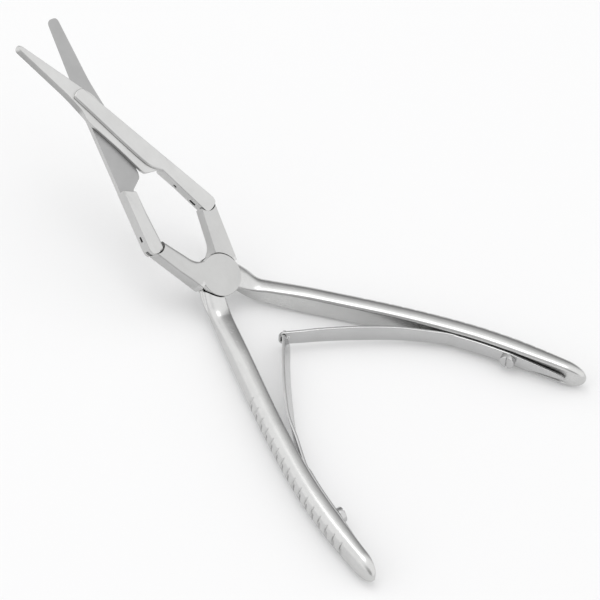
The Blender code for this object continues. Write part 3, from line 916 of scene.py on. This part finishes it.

# %% [markdown]
# Each piece gets its finish. The springs keep their own shading, because their faces are even. The
# levers carry a second finish: the joint's ground flats on the handle levers, and the lapped faces on the
# blade levers. Both are found by where a face lies and which way it looks.

# %% Finishes on the pieces
JOINT_END = -1.6           # the handle levers have the joint's finish in front of this
FINISHES = [
    (satin, "satin_steel", [top_blade, bottom_blade, *pins]),
    (polished, "polished_steel", [upper_handle, lower_handle]),
    (strip, "spring_steel", leaves),
    (turned_steel, "screw_steel", screws),
]
for material, slot_name, pieces in FINISHES:
    for piece in pieces:
        piece.data.materials.clear()
        piece.data.materials.append(material)
        if material is not strip:
            steady_normals(piece)


def face_places(piece):
    """Centres, in millimetres from the handle pivot, and normals of a piece's faces."""
    return read(piece.data.polygons, "center") / MM - PIVOT, read(piece.data.polygons, "normal")


def second_finish(piece, material, chosen):
    """Gives a second material to the chosen faces and counts them."""
    piece.data.materials.append(material)
    piece.data.polygons.foreach_set("material_index", chosen.astype(np.int32))
    return int(chosen.sum())


def joint_faces(piece):
    """Gives the joint's satin finish to the arm and to the flat faces of the disc."""
    place, normal = face_places(piece)
    radius = np.linalg.norm(place - (place @ PIN_AXIS)[:, None] * PIN_AXIS, axis=1)
    flat = np.abs(normal @ PIN_AXIS) > 0.9
    return second_finish(piece, joint, (flat & (radius < DISC_RADIUS)) | (place @ ALONG < JOINT_END))


def lap_faces(piece, sign):
    """Gives the lapped finish to the faces that lie on the plane between the two blade levers."""
    place, normal = face_places(piece)
    height, facing = place @ PIN_AXIS * sign, normal @ PIN_AXIS * sign
    return second_finish(piece, lapped, (np.abs(height) < 2 * LAP_GAP) & (facing < -0.9))


print("joint faces:", joint_faces(upper_handle), "and", joint_faces(lower_handle))
print("lapped faces:", lap_faces(top_blade, 1), "and", lap_faces(bottom_blade, -1))
print("finishes:", ", ".join(slot_name for _, slot_name, _ in FINISHES))

# %% [markdown]
# ## Studio
# The tool lies on a large pale sheet that glows a little, so that it stays nearly white under the tool.

# %% Floor
FLOOR_HALF, FLOOR_LEVEL = 3.0, -0.0002           # metres
floor_mesh = bpy.data.meshes.new("floor")
floor_mesh.from_pydata([(x * FLOOR_HALF, y * FLOOR_HALF, FLOOR_LEVEL)
                        for x, y in [(-1, -1), (1, -1), (1, 1), (-1, 1)]], [], [(0, 1, 2, 3)])
floor = bpy.data.objects.new("floor", floor_mesh)
bpy.context.collection.objects.link(floor)
paper = Finish("pale_paper")
for socket, value in [("Base Color", (0.72, 0.72, 0.722, 1)), ("Roughness", 0.9),
                      ("Specular IOR Level", 0.1), ("Emission Color", (1, 1, 1, 1)),
                      ("Emission Strength", 0.15)]:
    paper.shader.inputs[socket].default_value = value
floor_mesh.materials.append(paper.material)
print(f"floor {2 * FLOOR_HALF:.0f} m wide")

# %% [markdown]
# Steel shows what is round it, so the light is drawn for its reflections. The sky is white with two dark
# patches, one low behind the tool and one in front of it, which shade the sides of the rounded bars.
# Each patch depends on the angle to its middle, by the cosine that a dot product gives. A softbox
# overhead brightens the crowns.

# %% Sky and softbox
SKY_STRENGTH = 1.22
DARK_PATCHES = [           # direction, where the shade starts and is full (cosine), how dark
    ((-0.50, 0.85, 0.12), 0.50, 0.97, 0.25),
    ((0.50, -0.74, 0.42), 0.72, 0.97, 0.42),
]
world = bpy.data.worlds.new("sky")
bpy.context.scene.world = world
world.use_nodes = True
sky = Sheet(world.node_tree)
direction = sky.add("TexCoord", {}, output="Generated")
brightness = (1, 1, 1, 1)
for toward, start, end, level in DARK_PATCHES:
    facing = sky.add("VectorMath", {"operation": "DOT_PRODUCT"}, direction,
                     tuple(unit(np.array(toward))), output="Value")
    patch = sky.add("ValToRGB", {}, facing, stops=[(start, 1), (end, level)])
    patch.socket.node.color_ramp.interpolation = "EASE"
    brightness = sky.add("Mix", {"data_type": "RGBA", "blend_type": "MULTIPLY"}, Factor=1.0,
                         A=brightness, B=patch)
background = world.node_tree.nodes["Background"]
sky.feed(background.inputs["Color"], brightness)
background.inputs["Strength"].default_value = SKY_STRENGTH


def softbox(name, place, aim, size, power):
    """Square area light at a place, turned to an aim, both in metres."""
    lamp = bpy.data.lights.new(name, "AREA")
    lamp.size, lamp.energy = size, power
    item = bpy.data.objects.new(name, lamp)
    bpy.context.collection.objects.link(item)
    item.location = place
    item.rotation_euler = Vector(np.subtract(aim, place)).to_track_quat("-Z", "Y").to_euler()


softbox("overhead_box", place=(-0.25, 0.05, 1.3), aim=(0, 0, 0), size=0.55, power=2.2)
bpy.context.scene.view_settings.view_transform = "Standard"
print(len(DARK_PATCHES), "dark patches in the sky")

# %% [markdown]
# ## Camera
# A long lens from above and to the front left: the blades point away to the upper left and the
# handles come towards the viewer.

# %% Camera
CAMERA_DISTANCE, LENS = 1200, 244.8              # millimetres
AIM_RIGHT, AIM_UP = 24.4, -6.9                   # of the handle pivot, as the camera sees it
RIGHT, UP = unit(np.array([0.747, 0.664, 0.03])), np.array([-0.532, 0.571, 0.625])
UP = unit(UP - RIGHT * (RIGHT @ UP))
BACK = np.cross(RIGHT, UP)
eye = PIVOT + CAMERA_DISTANCE * BACK
aim = PIVOT + AIM_RIGHT * RIGHT + AIM_UP * UP
backward = unit(eye - aim)
sideways = unit(np.cross(UP, backward))
camera = bpy.data.objects.new("camera", bpy.data.cameras.new("camera"))
bpy.context.collection.objects.link(camera)
camera.data.lens, camera.data.sensor_width = LENS, 36.0
camera.data.clip_start, camera.data.clip_end = 0.05, 20.0
look = placed(eye * MM, sideways, np.cross(backward, sideways), backward)
camera.matrix_world = Matrix(look.tolist())
bpy.context.scene.camera = camera
print(f"camera {np.linalg.norm(eye - aim):.0f} mm from its aim")

# %% The json module, imported once more
import json
